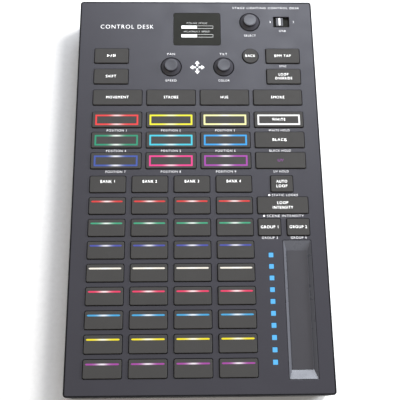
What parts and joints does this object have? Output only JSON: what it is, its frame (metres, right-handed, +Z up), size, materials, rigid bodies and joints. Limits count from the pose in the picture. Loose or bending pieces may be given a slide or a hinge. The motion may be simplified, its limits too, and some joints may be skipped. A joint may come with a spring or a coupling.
{
  "type": "lighting control desk",
  "caption": "Flat tabletop desk for stage lights: spring-return keys and backlit pads in rows, low rotary knobs, a small display, a touch strip with a level meter, sockets at the rear.",
  "frame": {"origin": "middle of the footprint, on the surface that the desk stands on", "axes": "+X to the user's right, +Y away from the user towards the rear sockets, +Z up"},
  "size_m": [0.195, 0.322, 0.0398],
  "materials": {
    "panel_paint": "matte blue-grey powder coat on sheet steel",
    "case_plastic": "fine-textured black ABS",
    "foot_rubber": "plain black rubber",
    "board": "green lacquered glass-epoxy board with its soldered parts",
    "silicone": "translucent grey silicone",
    "display_glass": "tinted glossy acrylic",
    "display_frame": "plated steel frame",
    "strip_plastic": "satin dark grey plastic",
    "touch_film": "satin polyester film",
    "meter_lens": "light-blue translucent acrylic",
    "socket_metal": null,
    "encoder_metal": "plated encoder housing",
    "rotor_plastic": "plain nylon",
    "knob_plastic": "soft-touch dark grey",
    "slider_plastic": "black with a white pointer line",
    "key_rubber": "matte dark grey silicone keycap with light frame",
    "pad_rubber": "matte dark grey silicone pads with light bars"
  },
  "bodies": {
    "desk": {"top_panel": "panel_paint", "bottom_case": "case_plastic", "front_foot_strip": "foot_rubber", "rear_foot_strip": "foot_rubber", "circuit_board": "board", "dome_sheet": "silicone", "display_window": "display_glass", "display_module": "display_frame", "touch_strip_tray": "strip_plastic", "touch_strip_sensor": "touch_film", "meter_light_guide": "meter_lens", "dmx_socket_1": "socket_metal", "dmx_socket_2": "socket_metal", "usb_socket_1": "socket_metal", "usb_socket_2": "socket_metal", "select_encoder_body": "encoder_metal", "pan_encoder_body": "encoder_metal", "tilt_encoder_body": "encoder_metal"},
    "select_rotor": {"select_rotor": "rotor_plastic"},
    "select_knob": {"select_knob": "knob_plastic"},
    "pan_knob": {"pan_knob": "knob_plastic"},
    "tilt_knob": {"tilt_knob": "knob_plastic"},
    "usb_slider": {"usb_slider": "slider_plastic"},
    "play_button": {"play_button": "key_rubber"},
    "shift_button": {"shift_button": "key_rubber"},
    "tap_button": {"tap_button": "key_rubber"},
    "override_button": {"override_button": "key_rubber"},
    "back_button": {"back_button": "key_rubber"},
    "loop_button": {"loop_button": "key_rubber"},
    "intensity_button": {"intensity_button": "key_rubber"},
    "movement_button": {"movement_button": "key_rubber"},
    "strobe_button": {"strobe_button": "key_rubber"},
    "hue_button": {"hue_button": "key_rubber"},
    "smoke_button": {"smoke_button": "key_rubber"},
    "position_1_button": {"position_1_button": "key_rubber"},
    "position_2_button": {"position_2_button": "key_rubber"},
    "position_3_button": {"position_3_button": "key_rubber"},
    "position_4_button": {"position_4_button": "key_rubber"},
    "position_5_button": {"position_5_button": "key_rubber"},
    "position_6_button": {"position_6_button": "key_rubber"},
    "position_7_button": {"position_7_button": "key_rubber"},
    "position_8_button": {"position_8_button": "key_rubber"},
    "position_9_button": {"position_9_button": "key_rubber"},
    "white_button": {"white_button": "key_rubber"},
    "black_button": {"black_button": "key_rubber"},
    "uv_button": {"uv_button": "key_rubber"},
    "bank_1_button": {"bank_1_button": "key_rubber"},
    "bank_2_button": {"bank_2_button": "key_rubber"},
    "bank_3_button": {"bank_3_button": "key_rubber"},
    "bank_4_button": {"bank_4_button": "key_rubber"},
    "group_1_button": {"group_1_button": "key_rubber"},
    "group_2_button": {"group_2_button": "key_rubber"},
    "pad_row_1": {"pad_row_1": "pad_rubber"},
    "pad_row_2": {"pad_row_2": "pad_rubber"},
    "pad_row_3": {"pad_row_3": "pad_rubber"},
    "pad_row_4": {"pad_row_4": "pad_rubber"},
    "pad_row_5": {"pad_row_5": "pad_rubber"},
    "pad_row_6": {"pad_row_6": "pad_rubber"},
    "pad_row_7": {"pad_row_7": "pad_rubber"},
    "pad_row_8": {"pad_row_8": "pad_rubber"}
  },
  "joints": [
    {"name": "select_turn", "type": "hinge", "parent": "desk", "child": "select_rotor", "pos_m": [0.0447, 0.1415, 0.036], "axis": [0, 0, 1], "continuous": true},
    {"name": "select_push", "type": "slide", "parent": "select_rotor", "child": "select_knob", "axis": [0, 0, -1], "range_m": [0, 0.0005], "stiffness_N_per_m": 600},
    {"name": "pan_turn", "type": "hinge", "parent": "desk", "child": "pan_knob", "pos_m": [-0.0212, 0.0996, 0.036], "axis": [0, 0, 1], "continuous": true},
    {"name": "tilt_turn", "type": "hinge", "parent": "desk", "child": "tilt_knob", "pos_m": [0.022, 0.0996, 0.036], "axis": [0, 0, 1], "continuous": true},
    {"name": "usb_slide", "type": "slide", "parent": "desk", "child": "usb_slider", "axis": [1, 0, 0], "range_m": [0, 0.003]},
    {"name": "position_1_press", "type": "slide", "parent": "desk", "child": "position_1_button", "axis": [0, 0, -1], "range_m": [0, 0.0008], "stiffness_N_per_m": 400},
    {"name": "pad_row_1_press", "type": "slide", "parent": "desk", "child": "pad_row_1", "axis": [0, 0, -1], "range_m": [0, 0.0008], "stiffness_N_per_m": 800},
    {"name": "bank_1_press", "type": "slide", "parent": "desk", "child": "bank_1_button", "axis": [0, 0, -1], "range_m": [0, 0.0008], "stiffness_N_per_m": 400},
    {"name": "movement_press", "type": "slide", "parent": "desk", "child": "movement_button", "axis": [0, 0, -1], "range_m": [0, 0.0008], "stiffness_N_per_m": 400},
    {"name": "play_press", "type": "slide", "parent": "desk", "child": "play_button", "axis": [0, 0, -1], "range_m": [0, 0.0008], "stiffness_N_per_m": 400},
    {"name": "back_press", "type": "slide", "parent": "desk", "child": "back_button", "axis": [0, 0, -1], "range_m": [0, 0.0008], "stiffness_N_per_m": 400},
    {"name": "pad_row_2_press", "type": "slide", "parent": "desk", "child": "pad_row_2", "axis": [0, 0, -1], "range_m": [0, 0.0008], "stiffness_N_per_m": 800},
    {"name": "pad_row_3_press", "type": "slide", "parent": "desk", "child": "pad_row_3", "axis": [0, 0, -1], "range_m": [0, 0.0008], "stiffness_N_per_m": 800},
    {"name": "pad_row_4_press", "type": "slide", "parent": "desk", "child": "pad_row_4", "axis": [0, 0, -1], "range_m": [0, 0.0008], "stiffness_N_per_m": 800},
    {"name": "pad_row_5_press", "type": "slide", "parent": "desk", "child": "pad_row_5", "axis": [0, 0, -1], "range_m": [0, 0.0008], "stiffness_N_per_m": 800},
    {"name": "pad_row_6_press", "type": "slide", "parent": "desk", "child": "pad_row_6", "axis": [0, 0, -1], "range_m": [0, 0.0008], "stiffness_N_per_m": 800},
    {"name": "pad_row_7_press", "type": "slide", "parent": "desk", "child": "pad_row_7", "axis": [0, 0, -1], "range_m": [0, 0.0008], "stiffness_N_per_m": 800},
    {"name": "pad_row_8_press", "type": "slide", "parent": "desk", "child": "pad_row_8", "axis": [0, 0, -1], "range_m": [0, 0.0008], "stiffness_N_per_m": 800},
    {"name": "shift_press", "type": "slide", "parent": "desk", "child": "shift_button", "axis": [0, 0, -1], "range_m": [0, 0.0008], "stiffness_N_per_m": 400},
    {"name": "tap_press", "type": "slide", "parent": "desk", "child": "tap_button", "axis": [0, 0, -1], "range_m": [0, 0.0008], "stiffness_N_per_m": 400},
    {"name": "override_press", "type": "slide", "parent": "desk", "child": "override_button", "axis": [0, 0, -1], "range_m": [0, 0.0008], "stiffness_N_per_m": 400},
    {"name": "loop_press", "type": "slide", "parent": "desk", "child": "loop_button", "axis": [0, 0, -1], "range_m": [0, 0.0008], "stiffness_N_per_m": 400},
    {"name": "intensity_press", "type": "slide", "parent": "desk", "child": "intensity_button", "axis": [0, 0, -1], "range_m": [0, 0.0008], "stiffness_N_per_m": 400},
    {"name": "strobe_press", "type": "slide", "parent": "desk", "child": "strobe_button", "axis": [0, 0, -1], "range_m": [0, 0.0008], "stiffness_N_per_m": 400},
    {"name": "hue_press", "type": "slide", "parent": "desk", "child": "hue_button", "axis": [0, 0, -1], "range_m": [0, 0.0008], "stiffness_N_per_m": 400},
    {"name": "smoke_press", "type": "slide", "parent": "desk", "child": "smoke_button", "axis": [0, 0, -1], "range_m": [0, 0.0008], "stiffness_N_per_m": 400},
    {"name": "position_2_press", "type": "slide", "parent": "desk", "child": "position_2_button", "axis": [0, 0, -1], "range_m": [0, 0.0008], "stiffness_N_per_m": 400},
    {"name": "position_3_press", "type": "slide", "parent": "desk", "child": "position_3_button", "axis": [0, 0, -1], "range_m": [0, 0.0008], "stiffness_N_per_m": 400},
    {"name": "position_4_press", "type": "slide", "parent": "desk", "child": "position_4_button", "axis": [0, 0, -1], "range_m": [0, 0.0008], "stiffness_N_per_m": 400},
    {"name": "position_5_press", "type": "slide", "parent": "desk", "child": "position_5_button", "axis": [0, 0, -1], "range_m": [0, 0.0008], "stiffness_N_per_m": 400},
    {"name": "position_6_press", "type": "slide", "parent": "desk", "child": "position_6_button", "axis": [0, 0, -1], "range_m": [0, 0.0008], "stiffness_N_per_m": 400},
    {"name": "position_7_press", "type": "slide", "parent": "desk", "child": "position_7_button", "axis": [0, 0, -1], "range_m": [0, 0.0008], "stiffness_N_per_m": 400},
    {"name": "position_8_press", "type": "slide", "parent": "desk", "child": "position_8_button", "axis": [0, 0, -1], "range_m": [0, 0.0008], "stiffness_N_per_m": 400},
    {"name": "position_9_press", "type": "slide", "parent": "desk", "child": "position_9_button", "axis": [0, 0, -1], "range_m": [0, 0.0008], "stiffness_N_per_m": 400},
    {"name": "white_press", "type": "slide", "parent": "desk", "child": "white_button", "axis": [0, 0, -1], "range_m": [0, 0.0008], "stiffness_N_per_m": 400},
    {"name": "black_press", "type": "slide", "parent": "desk", "child": "black_button", "axis": [0, 0, -1], "range_m": [0, 0.0008], "stiffness_N_per_m": 400},
    {"name": "uv_press", "type": "slide", "parent": "desk", "child": "uv_button", "axis": [0, 0, -1], "range_m": [0, 0.0008], "stiffness_N_per_m": 400},
    {"name": "bank_2_press", "type": "slide", "parent": "desk", "child": "bank_2_button", "axis": [0, 0, -1], "range_m": [0, 0.0008], "stiffness_N_per_m": 400},
    {"name": "bank_3_press", "type": "slide", "parent": "desk", "child": "bank_3_button", "axis": [0, 0, -1], "range_m": [0, 0.0008], "stiffness_N_per_m": 400},
    {"name": "bank_4_press", "type": "slide", "parent": "desk", "child": "bank_4_button", "axis": [0, 0, -1], "range_m": [0, 0.0008], "stiffness_N_per_m": 400},
    {"name": "group_1_press", "type": "slide", "parent": "desk", "child": "group_1_button", "axis": [0, 0, -1], "range_m": [0, 0.0008], "stiffness_N_per_m": 400},
    {"name": "group_2_press", "type": "slide", "parent": "desk", "child": "group_2_button", "axis": [0, 0, -1], "range_m": [0, 0.0008], "stiffness_N_per_m": 400}
  ]
}
